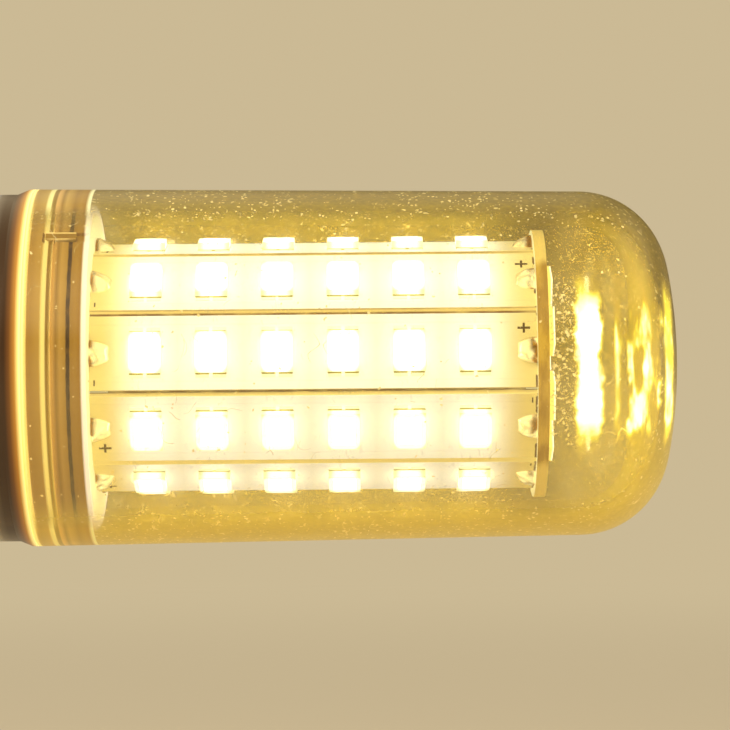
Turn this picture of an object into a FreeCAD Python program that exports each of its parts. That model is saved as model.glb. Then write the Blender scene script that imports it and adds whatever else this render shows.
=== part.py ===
import FreeCAD, Part

import math
import os

# A corn-type LED bulb. Ten strip boards of LEDs stand side by side as a ten-sided column between a base
# board and a top board, under a clear domed cover. The cover snaps over the collar of a moulded housing,
# which holds the driver and ends in an E27 screw cap.
# Lengths are in millimetres. The bulb's axis is +X, from the end contact's flat face at x = 0 to the tip.
# Angles round that axis are in degrees, from the side that faces -Y and rising towards +Z.

V = FreeCAD.Vector
CENTRE = V(0, 0, 0)
AXIS = V(1, 0, 0)
FULL_TURN = 360.0

# End contact: a rivet whose tail takes the live lead
CONTACT_D = 9.6
CONTACT_FACE_D = 6.4
CONTACT_EDGE_H = 0.5
CONTACT_H = 1.0
CONTACT_TAIL_D = 3.4
CONTACT_TAIL_L = 5.0
CONTACT_BORE_L = 3.0

# Insulator: a cone outside the shell and a flange inside it
INSULATOR_TIP_D = 11.2
INSULATOR_D = 18.4
INSULATOR_H = 4.4
INSULATOR_FLANGE_H = 2.0

# Screw shell, rolled from sheet, to the E27 thread
SHEET = 0.3
SHELL_L = 21.6
SHELL_CORNER = 1.3
SHELL_RIM_D = 26.9
SHELL_RIM_L = 2.6
THREAD_D = 26.2
THREAD_DEPTH = 0.9
THREAD_PITCH = 3.629
THREAD_RIDGES = 4
THREAD_CREST_SHARE = 0.22
THREAD_START = 2.4

# Housing
NECK_L = 15.0
NECK_WALL = 1.5
FOOT_STEP = 0.5
HOUSING_L = 18.0
TAPER_L = 8.5
BARREL_BEND_R = 12.0
FLARE_L = 1.6
FLARE_STEP = 0.45
FLARE_BAND_L = 0.5
COLLAR_L = 5.5
COLLAR_RIM_WALL = 0.78
DISC_LEDGE = 0.7
CAVITY_CONE_L = 7.0

# Cover
COVER_D = 32.2
TIP_ROOM = 12.0
COVER_WALL = 1.2
COVER_DRAFT = 0.7
COVER_CORNER_R = 8.0
COVER_CAP_R = 45.0

# Snap bead inside the cover and the groove it drops into, from the cover's mouth
BEAD_X = 2.1
BEAD_H = 0.38
BEAD_TIP_L = 0.23
BEAD_FLANK_L = 0.28

# Two keys inside the cover stop it turning on the collar
KEY_ANGLE = 48.2
KEY_COUNT = 2
KEY_W = 0.9
KEY_H = 0.36
KEY_FROM = 1.6
KEY_TO = 4.4

# Boards
DISC_T = 0.8
DISC_SHELF = 3.05
PLATE_T = 1.0
PLATE_RIM = 0.15
STRIP_COUNT = 10
STRIP_CLOCK = 6.3
STRIP_GAP = 0.1
STRIP_T = 0.8
TAB_W = 3.0
TAB_SINK = 0.1

# LED packages
LED_L = 3.5
LED_W = 2.8
LED_H = 0.7
LED_RIM = 0.4
LED_POCKET_H = 0.35
PHOSPHOR_H = 0.3
LED_PITCH = 5.75
LEDS_PER_STRIP = 6
FIRST_LED = 4.85
LAST_LED = 5.4
TOP_RING_D = 14.6
TOP_RING_COUNT = 8
TOP_RING_CLOCK = 22.5

# Solder joints between strips and boards
SOLDER_L = 1.7
SOLDER_H = 1.15
SOLDER_TIP = 0.3

# Driver
BOARD_T = 1.0
BOARD_FROM = 2.0
BOARD_END_GAP = 5.7
BOARD_LOW_GAP = 0.7
BOARD_HIGH_GAP = 1.7
BOARD_STEP_BACK = 2.1
RAIL_DEPTH = 2.0
RAIL_T = 1.0
RAIL_L = 12.0
LEAD_D = 1.0
LEAD_BEND_R = 1.3
LEAD_SEAT = 2.0
LEAD_SPREAD = 0.65
PIN_D = 0.6
PIN_TAIL = 0.8
FILM_SIZE = (11.0, 6.0, 12.0)
FILM_BACK = 1.5
FILM_PIN_PITCH = 7.5
FILM_EDGE_R = 1.0
CAN_D = 8.0
CAN_L = 12.0
CAN_BACK = 2.0
CAN_GROOVE_FROM = 1.5
CAN_GROOVE_L = 1.0
CAN_GROOVE_DEPTH = 0.4
CAN_PIN_PITCH = 3.5
CAN_PIN_L = 1.6
RECTIFIER_SIZE = (4.7, 2.4, 3.9)
RECTIFIER_FROM = 8.0
RECTIFIER_LEG = (0.6, 0.4, 1.2)
RECTIFIER_LEG_PITCH = 2.6
FUSE_D = 2.5
FUSE_END_D = 3.0
FUSE_END_L = 1.3
FUSE_L = 6.5
FUSE_FROM = 5.0
FUSE_PIN_L = 1.8
CHIP_SIZE = (1.6, 0.6, 3.2)
CHIP_BACK = 7.0
CHIP_SPREAD = 15.0

# Clearances
FIT = 0.1
SNAP_FIT = 0.15
SEAT_GAP = 0.05
SINK = 0.3

# Stations along the axis
STRIP_L = FIRST_LED + LED_PITCH * (LEDS_PER_STRIP - 1) + LAST_LED
X_SHELL = CONTACT_H + INSULATOR_H
X_FLANGE = X_SHELL + SHEET
X_SHOULDER = X_SHELL + SHELL_L
X_NECK = X_SHOULDER - NECK_L
X_MOUTH = X_SHOULDER + HOUSING_L
X_RIM = X_MOUTH + COLLAR_L
X_DISC = X_RIM - DISC_T
X_PLATE = X_RIM + STRIP_L
X_TIP = X_PLATE + PLATE_T + TIP_ROOM
X_BOARD = X_NECK + BOARD_FROM
X_BOARD_END = X_DISC - BOARD_END_GAP
X_CAVITY = X_SHOULDER + TAPER_L

# Radii
THREAD_CORE_R = THREAD_D / 2 - THREAD_DEPTH
DRAFT_SLOPE = math.tan(math.radians(COVER_DRAFT))
DRAFT_COSINE = math.cos(math.radians(COVER_DRAFT))
NECK_R = THREAD_CORE_R - SHEET - FIT
NECK_BORE_R = NECK_R - NECK_WALL
RIM_NECK_R = SHELL_RIM_D / 2 - SHEET - FIT
FOOT_R = SHELL_RIM_D / 2 + FOOT_STEP
BARREL_R = COVER_D / 2 - FLARE_STEP
COLLAR_RIM_R = COVER_D / 2 - COVER_WALL / DRAFT_COSINE - DRAFT_SLOPE * COLLAR_L - SNAP_FIT
REBATE_R = COLLAR_RIM_R - COLLAR_RIM_WALL
CAVITY_R = REBATE_R - DISC_LEDGE
DISC_R = REBATE_R - FIT

# Column and driver board
STRIP_FACE = DISC_R - DISC_SHELF
STRIP_BACK = STRIP_FACE - STRIP_T
STRIP_W = 2 * STRIP_BACK * math.tan(math.pi / STRIP_COUNT) - STRIP_GAP
PLATE_R = STRIP_FACE + SOLDER_H + PLATE_RIM
BOARD_LOW = NECK_BORE_R - BOARD_LOW_GAP
BOARD_HIGH = CAVITY_R - BOARD_HIGH_GAP
LEAD_HEIGHT = BOARD_T / 2 + LEAD_D / 2 + SEAT_GAP


def outline(corners):
    """A closed wire in the XZ plane through (x, r, fillet) corners, with an arc where the fillet isn't 0."""
    points = [V(x, 0, r) for x, r, fillet in corners]
    arcs, ends = [], []
    for i, (x, r, fillet) in enumerate(corners):
        here = points[i]
        if not fillet:
            ends.append((here, here))
            continue
        back = (points[i - 1] - here).normalize()
        ahead = (points[(i + 1) % len(points)] - here).normalize()
        half = back.getAngle(ahead) / 2
        reach = fillet / math.tan(half)
        middle = here + (back + ahead).normalize() * (fillet / math.sin(half) - fillet)
        start, end = here + back * reach, here + ahead * reach
        arcs.append(Part.Arc(start, middle, end).toShape())
        ends.append((start, end))
    lines = []
    for i, (start, end) in enumerate(ends):
        following = ends[(i + 1) % len(ends)][0]
        if end.distanceToPoint(following) > 1e-6:
            lines.append(Part.makeLine(end, following))
    return Part.Wire(Part.__sortEdges__(arcs + lines))


def turned(corners, degrees=FULL_TURN):
    """A solid turned about the bulb's axis from (x, r, fillet) corners."""
    return Part.Face(outline(corners)).revolve(CENTRE, AXIS, degrees)


def block(x, y, z):
    """A box from its ranges along the three axes."""
    return Part.makeBox(x[1] - x[0], y[1] - y[0], z[1] - z[0], V(x[0], y[0], z[0]))


def wide(size, middle=0.0):
    """The range of a size that is centred on middle."""
    return (middle - size / 2, middle + size / 2)


def at_angle(shape, angle):
    """A copy of a shape that was modelled on the +Z side, turned to an angle round the bulb."""
    copy = shape.copy()
    copy.rotate(CENTRE, AXIS, 90.0 - angle)
    return copy


def strip_angles():
    return [STRIP_CLOCK + FULL_TURN / STRIP_COUNT * i for i in range(STRIP_COUNT)]


def key_angles():
    return [KEY_ANGLE + FULL_TURN / KEY_COUNT * i for i in range(KEY_COUNT)]


def bent_pin(points):
    """A component's thin pin, folded sharply at each point of its route."""
    section = Part.makeCircle(PIN_D / 2, points[0], points[1] - points[0])
    return Part.makePolygon(points).makePipeShell([Part.Wire(section)], True, False, 1)


def bent_wire(points, diameter, bend_r):
    """A round wire along straight runs through the points, with a tangent arc at each bend."""
    edges = []
    last = points[0]
    for before, here, after in zip(points, points[1:], points[2:]):
        back, ahead = (before - here).normalize(), (after - here).normalize()
        half = back.getAngle(ahead) / 2
        reach = bend_r / math.tan(half)
        start, end = here + back * reach, here + ahead * reach
        middle = here + (back + ahead).normalize() * (bend_r / math.sin(half) - bend_r)
        edges.append(Part.makeLine(last, start))
        edges.append(Part.Arc(start, middle, end).toShape())
        last = end
    edges.append(Part.makeLine(last, points[-1]))
    section = Part.makeCircle(diameter / 2, points[0], points[1] - points[0])
    return Part.Wire(edges).makePipeShell([Part.Wire(section)], True, False)


# Screw cap


def end_contact():
    """A rivet with a flat middle, a bevelled edge and a tail with a bore for the live lead."""
    bore_r = LEAD_D / 2 + FIT
    tail_end = CONTACT_H + CONTACT_TAIL_L
    return turned(
        [
            (0, 0, 0),
            (0, CONTACT_FACE_D / 2, 0),
            (CONTACT_EDGE_H, CONTACT_D / 2, 0),
            (CONTACT_H, CONTACT_D / 2, 0),
            (CONTACT_H, CONTACT_TAIL_D / 2, 0),
            (tail_end, CONTACT_TAIL_D / 2, 0),
            (tail_end, bore_r, 0),
            (tail_end - CONTACT_BORE_L, bore_r, 0),
            (tail_end - CONTACT_BORE_L, 0, 0),
        ]
    )


def insulator():
    """A cone between contact and shell, with a flange behind the shell's lip and a bore for the tail."""
    bore_r = CONTACT_TAIL_D / 2 + FIT
    flange_r = THREAD_CORE_R - SHEET - SHELL_CORNER - FIT
    return turned(
        [
            (CONTACT_H, bore_r, 0),
            (CONTACT_H, INSULATOR_TIP_D / 2, 0),
            (X_SHELL, INSULATOR_D / 2, 0),
            (X_FLANGE, INSULATOR_D / 2, 0),
            (X_FLANGE, flange_r, 0),
            (X_FLANGE + INSULATOR_FLANGE_H, flange_r, 0),
            (X_FLANGE + INSULATOR_FLANGE_H, bore_r, 0),
        ]
    )


def shell_skin(inset):
    """The shell's outer corners from its lip to its rim, or those corners moved inwards by inset."""
    core_r = THREAD_CORE_R - inset
    rim_x = X_SHOULDER - SHELL_RIM_L
    flat = THREAD_PITCH * THREAD_CREST_SHARE
    flank = THREAD_PITCH / 2 - flat
    corners = [
        (X_SHELL + inset, INSULATOR_D / 2 + FIT, 0),
        (X_SHELL + inset, core_r - SHELL_CORNER, 0),
        (X_SHELL + inset + SHELL_CORNER, core_r, 0),
    ]
    if not inset:
        for ridge in range(THREAD_RIDGES):
            foot = X_SHELL + THREAD_START + THREAD_PITCH * ridge
            corners += [
                (foot, core_r, 0),
                (foot + flank, THREAD_D / 2, 0),
                (foot + flank + flat, THREAD_D / 2, 0),
                (foot + 2 * flank + flat, core_r, 0),
            ]
    flare = SHELL_RIM_D / 2 - THREAD_CORE_R
    return corners + [
        (rim_x - flare, core_r, 0),
        (rim_x, SHELL_RIM_D / 2 - inset, 0),
        (X_SHOULDER, SHELL_RIM_D / 2 - inset, 0),
    ]


def screw_shell():
    """Rolled sheet: a lip turned in over the insulator, thread ridges and a plain rim."""
    return turned(shell_skin(0) + shell_skin(SHEET)[::-1])


# Housing and cover


def cover_bore_r(x):
    """The cover's inner radius on its drafted wall."""
    return COVER_D / 2 - COVER_WALL / DRAFT_COSINE - DRAFT_SLOPE * (x - X_MOUTH)


def bead_corners(gap):
    """The snap bead's four corners on the cover's bore, or those of a groove that clears it by gap."""
    half_tip = BEAD_TIP_L / 2 + gap
    half_foot = half_tip + BEAD_FLANK_L
    middle = X_MOUTH + BEAD_X
    bore_r = cover_bore_r(middle)
    return [
        (middle - half_foot, bore_r - gap, 0),
        (middle - half_tip, bore_r - BEAD_H - gap, 0),
        (middle + half_tip, bore_r - BEAD_H - gap, 0),
        (middle + half_foot, bore_r - gap, 0),
    ]


def key_block(gap, end):
    """One key on the +Z side, from inside the cover's wall, or a slot that clears it and runs to end."""
    root_r = cover_bore_r(X_MOUTH + KEY_FROM)
    return block(
        (X_MOUTH + KEY_FROM - gap, end),
        wide(KEY_W + 2 * gap),
        (root_r - KEY_H - gap, root_r + SINK),
    )


def neck_slot():
    """The groove along the neck in which the neutral lead lies against the shell."""
    lead_r = neutral_lead_radius()
    return block(
        (X_NECK - FIT, X_NECK + NECK_L / 2),
        wide(LEAD_D + 2 * FIT, LEAD_HEIGHT),
        (lead_r - LEAD_D / 2 - FIT, NECK_R + FIT),
    )


def driver_rails():
    """Two grooved rails inside the neck that hold the driver board by its edges."""
    reach = BOARD_LOW - RAIL_DEPTH
    side = BOARD_T / 2 + FIT
    rails = []
    for near in (1, -1):
        for face in (1, -1):
            z = sorted((near * reach, near * (NECK_BORE_R + SINK)))
            y = sorted((face * side, face * (side + RAIL_T)))
            rails.append(block((X_NECK, X_NECK + RAIL_L), y, z))
    neck = Part.makeCylinder(NECK_BORE_R + SINK, RAIL_L, V(X_NECK, 0, 0), AXIS)
    return [rail.common(neck) for rail in rails]


def housing():
    """Neck, tapered barrel, flared seat, and the collar with its groove, keyways and disc rebate."""
    rim_x = X_SHOULDER - SHELL_RIM_L
    step = RIM_NECK_R - NECK_R
    body = turned(
        [
            (X_NECK, NECK_BORE_R, 0),
            (X_NECK, NECK_R, 0),
            (rim_x - step, NECK_R, 0),
            (rim_x, RIM_NECK_R, 0),
            (X_SHOULDER, RIM_NECK_R, 0),
            (X_SHOULDER, FOOT_R, 0),
            (X_CAVITY, BARREL_R, BARREL_BEND_R),
            (X_MOUTH - FLARE_L, BARREL_R, 0),
            (X_MOUTH - FLARE_BAND_L, COVER_D / 2, 0),
            (X_MOUTH, COVER_D / 2, 0),
            (X_MOUTH, cover_bore_r(X_MOUTH) - SNAP_FIT, 0),
            *bead_corners(SNAP_FIT),
            (X_RIM, COLLAR_RIM_R, 0),
            (X_RIM, REBATE_R, 0),
            (X_DISC, REBATE_R, 0),
            (X_DISC, CAVITY_R, 0),
            (X_CAVITY, CAVITY_R, 0),
            (X_CAVITY - CAVITY_CONE_L, NECK_BORE_R, 0),
        ]
    )
    slot = key_block(SNAP_FIT, X_RIM + FIT)
    cuts = [at_angle(slot, angle) for angle in key_angles()] + [neck_slot()]
    return body.cut(cuts).fuse(driver_rails()).removeSplitter()


def cover_skin(inset):
    """The cover's skin from mouth to tip: drafted wall, corner arc and end cap, moved inwards by inset."""
    corner_r, cap_r = COVER_CORNER_R - inset, COVER_CAP_R - inset
    cap_centre = V(X_TIP - COVER_CAP_R, 0, 0)
    # The corner's centre lies COVER_CORNER_R inside the wall, and the difference of the two radii from the
    # cap's centre.
    apart = COVER_CAP_R - COVER_CORNER_R
    height = COVER_D / 2 - DRAFT_SLOPE * (cap_centre.x - X_MOUTH) - COVER_CORNER_R / DRAFT_COSINE
    square = 1 + DRAFT_SLOPE**2
    root = math.sqrt((height * DRAFT_SLOPE) ** 2 - square * (height**2 - apart**2))
    along = (height * DRAFT_SLOPE + root) / square
    corner_centre = cap_centre + V(along, 0, height - DRAFT_SLOPE * along)
    wall_normal = V(DRAFT_SLOPE * DRAFT_COSINE, 0, DRAFT_COSINE)
    cap_normal = (corner_centre - cap_centre).normalize()
    mouth = V(X_MOUTH, 0, COVER_D / 2 - inset / DRAFT_COSINE)
    wall_end = corner_centre + wall_normal * corner_r
    cap_start = corner_centre + cap_normal * corner_r
    corner_middle = corner_centre + (wall_normal + cap_normal).normalize() * corner_r
    cap_middle = cap_centre + (cap_normal + AXIS).normalize() * cap_r
    tip = cap_centre + AXIS * cap_r
    return [
        Part.makeLine(mouth, wall_end),
        Part.Arc(wall_end, corner_middle, cap_start).toShape(),
        Part.Arc(cap_start, cap_middle, tip).toShape(),
    ]


def cover():
    """Clear moulding: even wall, domed end, snap bead and two keys near its mouth."""
    outer, inner = cover_skin(0), cover_skin(COVER_WALL)
    mouth = Part.makeLine(outer[0].Vertexes[0].Point, inner[0].Vertexes[0].Point)
    tip = Part.makeLine(outer[-1].Vertexes[-1].Point, inner[-1].Vertexes[-1].Point)
    section = Part.Wire(Part.__sortEdges__(outer + inner + [mouth, tip]))
    wall = Part.Face(section).revolve(CENTRE, AXIS, FULL_TURN)
    corners = bead_corners(0)
    first, last = corners[0], corners[-1]
    bead = turned([(first[0], first[1] + SINK, 0), *corners, (last[0], last[1] + SINK, 0)])
    key = key_block(0, X_MOUTH + KEY_TO)
    keys = [at_angle(key, angle) for angle in key_angles()]
    return wall.fuse([bead] + keys).removeSplitter()


# Light column


def tab_slots(x, thickness):
    """The slots through a board for the strips' tabs, one at each strip."""
    slot = block(
        (x - FIT, x + thickness + FIT),
        wide(TAB_W + 2 * FIT),
        (STRIP_BACK - FIT, STRIP_FACE + FIT),
    )
    return [at_angle(slot, angle) for angle in strip_angles()]


def base_disc():
    disc = Part.makeCylinder(DISC_R, DISC_T, V(X_DISC, 0, 0), AXIS)
    return disc.cut(tab_slots(X_DISC, DISC_T))


def top_plate():
    plate = Part.makeCylinder(PLATE_R, PLATE_T, V(X_PLATE, 0, 0), AXIS)
    return plate.cut(tab_slots(X_PLATE, PLATE_T))


def strip_board():
    """One strip on the +Z side, with a tab at each end that seats in the boards' slots."""
    depth = (STRIP_BACK, STRIP_FACE)
    board = block((X_RIM, X_PLATE), wide(STRIP_W), depth)
    tabs = block((X_DISC + TAB_SINK, X_PLATE + PLATE_T - TAB_SINK), wide(TAB_W), depth)
    return board.fuse(tabs).removeSplitter()


def led_package(middle, foot):
    """An open package on the +Z side, with its long side across the strip: walls round a pocket."""
    body = block(wide(LED_W, middle), wide(LED_L), (foot, foot + LED_H))
    pocket = block(
        wide(LED_W - 2 * LED_RIM, middle),
        wide(LED_L - 2 * LED_RIM),
        (foot + LED_H - LED_POCKET_H, foot + LED_H + FIT),
    )
    return body.cut(pocket)


def led_phosphor(middle, foot):
    """The fill that lies in a package's pocket."""
    floor = foot + LED_H - LED_POCKET_H
    return block(
        wide(LED_W - 2 * LED_RIM, middle),
        wide(LED_L - 2 * LED_RIM),
        (floor, floor + PHOSPHOR_H),
    )


def strip_row(make):
    """A strip's row of packages or fills, on the +Z side."""
    first = X_RIM + FIRST_LED
    return Part.makeCompound([make(first + LED_PITCH * i, STRIP_FACE) for i in range(LEDS_PER_STRIP)])


def top_ring(make):
    """The top board's packages or fills: one in the middle and a ring round it, facing the dome."""
    copies = []
    for radius in [0.0] + [TOP_RING_D / 2] * TOP_RING_COUNT:
        piece = make(0.0, 0.0)
        piece.rotate(CENTRE, V(0, 1, 0), 90)
        piece.translate(V(X_PLATE + PLATE_T, 0, radius))
        angle = TOP_RING_CLOCK + FULL_TURN / TOP_RING_COUNT * len(copies)
        copies.append(at_angle(piece, angle))
    return Part.makeCompound(copies)


def solder_joints(face_x, way):
    """A lump of solder at each strip's end, on the strip and the board, growing from face_x along way."""
    corners = [
        (face_x, 0, 0),
        (face_x, SOLDER_H, 0),
        (face_x + way * SOLDER_L, SOLDER_TIP, 0),
        (face_x + way * SOLDER_L, 0, 0),
    ]
    lump = turned(corners, FULL_TURN / 2)
    lump.rotate(CENTRE, AXIS, 90)
    if lump.BoundBox.Center.z < 0:
        lump.rotate(CENTRE, AXIS, 180)
    lump.translate(V(0, 0, STRIP_FACE))
    return Part.makeCompound([at_angle(lump, angle) for angle in strip_angles()])


# Driver


def neutral_lead_radius():
    """The neutral lead's height in the neck's groove, with its top just under the shell."""
    inside_r = THREAD_CORE_R - SHEET - FIT
    outer_y = LEAD_HEIGHT + LEAD_D / 2
    return math.sqrt(inside_r**2 - outer_y**2) - LEAD_D / 2


def pin_holes(places):
    """Holes through the driver board at (x, z) places."""
    return [
        Part.makeCylinder(PIN_D / 2 + FIT, BOARD_T + 2 * FIT, V(x, -BOARD_T / 2 - FIT, z), V(0, 1, 0))
        for x, z in places
    ]


def film_pin_places():
    x = X_BOARD_END - FILM_BACK - FILM_SIZE[0] / 2
    return [(x, side * FILM_PIN_PITCH / 2) for side in (-1, 1)]


def can_pin_places():
    x = X_BOARD_END - CAN_BACK - CAN_L - CAN_PIN_L
    return [(x, side * CAN_PIN_PITCH / 2) for side in (-1, 1)]


def fuse_pin_places():
    low = X_BOARD + FUSE_FROM - FUSE_PIN_L
    high = X_BOARD + FUSE_FROM + FUSE_L + FUSE_PIN_L
    return [(low, 0.0), (high, 0.0)]


def driver_board():
    """A board with a narrow foot in the neck's rails and a wide head in the barrel, drilled for pins."""
    foot = block((X_BOARD, X_BOARD_END), wide(BOARD_T), wide(2 * BOARD_LOW))
    head = block((X_CAVITY - BOARD_STEP_BACK, X_BOARD_END), wide(BOARD_T), wide(2 * BOARD_HIGH))
    holes = pin_holes(film_pin_places() + can_pin_places() + fuse_pin_places())
    return foot.fuse(head).removeSplitter().cut(holes)


def film_capacitor():
    """A boxed capacitor on the board's -Y face, with two pins through the board."""
    length, depth, width = FILM_SIZE
    x = X_BOARD_END - FILM_BACK - length
    body = block((x, x + length), (-BOARD_T / 2 - depth, -BOARD_T / 2), wide(width))
    upright = [e for e in body.Edges if abs(e.Vertexes[0].Y - e.Vertexes[1].Y) > depth / 2]
    body = body.makeFillet(FILM_EDGE_R, upright)
    pins = [
        Part.makeCylinder(PIN_D / 2, BOARD_T + PIN_TAIL, V(px, -BOARD_T / 2, pz), V(0, 1, 0))
        for px, pz in film_pin_places()
    ]
    return body.fuse(pins).removeSplitter()


def electrolytic_capacitor():
    """A can on the board's +Y face, with a crimp groove near its foot and two pins bent into the board."""
    r = CAN_D / 2
    x = X_BOARD_END - CAN_BACK - CAN_L
    groove = x + CAN_GROOVE_FROM
    waist = r - CAN_GROOVE_DEPTH
    can = turned(
        [
            (x, 0, 0),
            (x, r, 0),
            (groove, r, 0),
            (groove + CAN_GROOVE_L / 2, waist, 0),
            (groove + CAN_GROOVE_L, r, 0),
            (x + CAN_L, r, 0),
            (x + CAN_L, 0, 0),
        ]
    )
    height = BOARD_T / 2 + r + SEAT_GAP
    can.translate(V(0, height, 0))
    pins = []
    for pin_x, pin_z in can_pin_places():
        bend = V(pin_x, height, pin_z)
        route = [V(x + SINK, height, pin_z), bend, V(pin_x, -BOARD_T / 2 - PIN_TAIL, pin_z)]
        pins.append(bent_pin(route))
    return can.fuse(pins).removeSplitter()


def bridge_rectifier():
    """A small moulded package on the board's +Y face, with two legs at each side."""
    length, depth, width = RECTIFIER_SIZE
    leg_l, leg_t, leg_w = RECTIFIER_LEG
    x = X_BOARD + RECTIFIER_FROM
    face = BOARD_T / 2
    body = block((x, x + length), (face, face + depth), wide(width))
    legs = []
    for side in (-1, 1):
        for middle in wide(RECTIFIER_LEG_PITCH, x + length / 2):
            z = wide(leg_w + SINK, side * (width + leg_w - SINK) / 2)
            legs.append(block(wide(leg_l, middle), (face, face + leg_t), z))
    return body.fuse(legs).removeSplitter()


def fuse_resistor():
    """A wire-wound resistor with swollen ends on the board's -Y face, its wires bent into the board."""
    x = X_BOARD + FUSE_FROM
    r, end_r = FUSE_D / 2, FUSE_END_D / 2
    body = turned(
        [
            (x, 0, 0),
            (x, end_r, 0),
            (x + FUSE_END_L, end_r, 0),
            (x + FUSE_END_L + end_r - r, r, 0),
            (x + FUSE_L - FUSE_END_L - end_r + r, r, 0),
            (x + FUSE_L - FUSE_END_L, end_r, 0),
            (x + FUSE_L, end_r, 0),
            (x + FUSE_L, 0, 0),
        ]
    )
    height = -BOARD_T / 2 - end_r - SEAT_GAP
    body.translate(V(0, height, 0))
    low, high = fuse_pin_places()
    pins = []
    for pin_x, root_x in ((low[0], x + SINK), (high[0], x + FUSE_L - SINK)):
        route = [V(root_x, height, 0), V(pin_x, height, 0), V(pin_x, BOARD_T / 2 + PIN_TAIL, 0)]
        pins.append(bent_pin(route))
    return body.fuse(pins).removeSplitter()


def chip_resistors():
    """A flat chip on each side of the can, on the board's +Y face."""
    length, depth, width = CHIP_SIZE
    x = X_BOARD_END - CHIP_BACK
    return Part.makeCompound(
        [
            block((x, x + length), (BOARD_T / 2, BOARD_T / 2 + depth), wide(width, side * CHIP_SPREAD / 2))
            for side in (-1, 1)
        ]
    )


def live_lead():
    """From the bottom of the end contact's bore, through the insulator, to the board's foot."""
    bottom = CONTACT_H + CONTACT_TAIL_L - CONTACT_BORE_L
    turn = (X_FLANGE + INSULATOR_FLANGE_H + X_NECK) / 2
    side = -BOARD_LOW / 2
    seat = X_BOARD + LEAD_SEAT
    route = [V(bottom, 0, 0), V(turn, 0, 0), V(X_NECK, LEAD_HEIGHT, side), V(seat, LEAD_HEIGHT, side)]
    return bent_wire(route, LEAD_D, LEAD_BEND_R)


def neutral_lead():
    """From the shell's inner side, round the end of the neck, to the board's foot."""
    outer = neutral_lead_radius()
    inner = BOARD_LOW / 2
    turn = X_NECK - LEAD_BEND_R
    route = [
        V(X_NECK + NECK_L / 2 - FIT, LEAD_HEIGHT, outer),
        V(turn, LEAD_HEIGHT, outer),
        V(turn, LEAD_HEIGHT, inner),
        V(X_BOARD + LEAD_SEAT, LEAD_HEIGHT, inner),
    ]
    return bent_wire(route, LEAD_D, LEAD_BEND_R)


def output_lead(side):
    """From the board's head to the underside of the base board."""
    near, far = side * BOARD_HIGH / 2, side * BOARD_HIGH * LEAD_SPREAD
    middle = (X_BOARD_END + X_DISC) / 2
    route = [
        V(X_BOARD_END - LEAD_SEAT, LEAD_HEIGHT, near),
        V(middle - LEAD_BEND_R, LEAD_HEIGHT, near),
        V(middle + LEAD_BEND_R / 2, LEAD_D * 2, far),
        V(X_DISC, LEAD_D * 2, far),
    ]
    return bent_wire(route, LEAD_D, LEAD_BEND_R)


def pieces():
    """Every piece by its name."""
    made = {
        "end_contact": end_contact(),
        "insulator": insulator(),
        "screw_shell": screw_shell(),
        "housing": housing(),
        "cover": cover(),
        "base_disc": base_disc(),
        "top_plate": top_plate(),
        "top_leds": top_ring(led_package),
        "top_phosphor": top_ring(led_phosphor),
        "lower_solder": solder_joints(X_RIM, 1),
        "upper_solder": solder_joints(X_PLATE, -1),
        "driver_board": driver_board(),
        "film_capacitor": film_capacitor(),
        "electrolytic_capacitor": electrolytic_capacitor(),
        "bridge_rectifier": bridge_rectifier(),
        "fuse_resistor": fuse_resistor(),
        "chip_resistors": chip_resistors(),
        "live_lead": live_lead(),
        "neutral_lead": neutral_lead(),
        "positive_lead": output_lead(1),
        "negative_lead": output_lead(-1),
    }
    strip, packages, fills = strip_board(), strip_row(led_package), strip_row(led_phosphor)
    for number, angle in enumerate(strip_angles(), start=1):
        made[f"led_board_{number:02d}"] = at_angle(strip, angle)
        made[f"leds_{number:02d}"] = at_angle(packages, angle)
        made[f"phosphor_{number:02d}"] = at_angle(fills, angle)
    return made


os.makedirs("parts", exist_ok=True)
for name, shape in pieces().items():
    shape.exportStep(f"parts/{name}.step")
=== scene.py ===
import itertools
import math
import random

import bpy
from mathutils import Matrix, Vector, noise


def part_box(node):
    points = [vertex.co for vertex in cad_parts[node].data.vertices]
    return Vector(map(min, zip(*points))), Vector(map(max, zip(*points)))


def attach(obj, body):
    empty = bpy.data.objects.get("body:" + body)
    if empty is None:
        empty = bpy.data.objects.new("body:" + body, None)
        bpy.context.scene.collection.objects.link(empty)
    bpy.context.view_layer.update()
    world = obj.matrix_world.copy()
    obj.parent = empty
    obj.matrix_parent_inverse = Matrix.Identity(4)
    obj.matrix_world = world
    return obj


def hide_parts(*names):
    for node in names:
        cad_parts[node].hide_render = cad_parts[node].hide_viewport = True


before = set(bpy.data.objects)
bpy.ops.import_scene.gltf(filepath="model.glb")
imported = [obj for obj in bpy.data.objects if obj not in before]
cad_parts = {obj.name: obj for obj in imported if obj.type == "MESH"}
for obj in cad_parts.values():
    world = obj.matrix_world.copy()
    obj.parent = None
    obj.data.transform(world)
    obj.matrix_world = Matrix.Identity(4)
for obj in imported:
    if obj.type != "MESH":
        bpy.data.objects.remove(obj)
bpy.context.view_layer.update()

# A lit corn-type LED bulb: a clear domed cover over a ten-sided column of LED strips, on a white housing
# with a screw cap. Lengths are in metres, and MM turns a size in millimetres into them. The axis is +X,
# from the cap to the dome.

MM = 0.001

# Stations and radii that the frame gives
MOUTH_X, COVER_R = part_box("cover")[0].x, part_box("cover")[1].z
TIP_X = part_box("cover")[1].x
RIM_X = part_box("housing")[1].x
PLATE_X, PLATE_END_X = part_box("top_plate")[0].x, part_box("top_plate")[1].x
SHELL_X, SHELL_END_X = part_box("screw_shell")[0].x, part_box("screw_shell")[1].x
SHELL_RIM_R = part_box("screw_shell")[1].z

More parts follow.
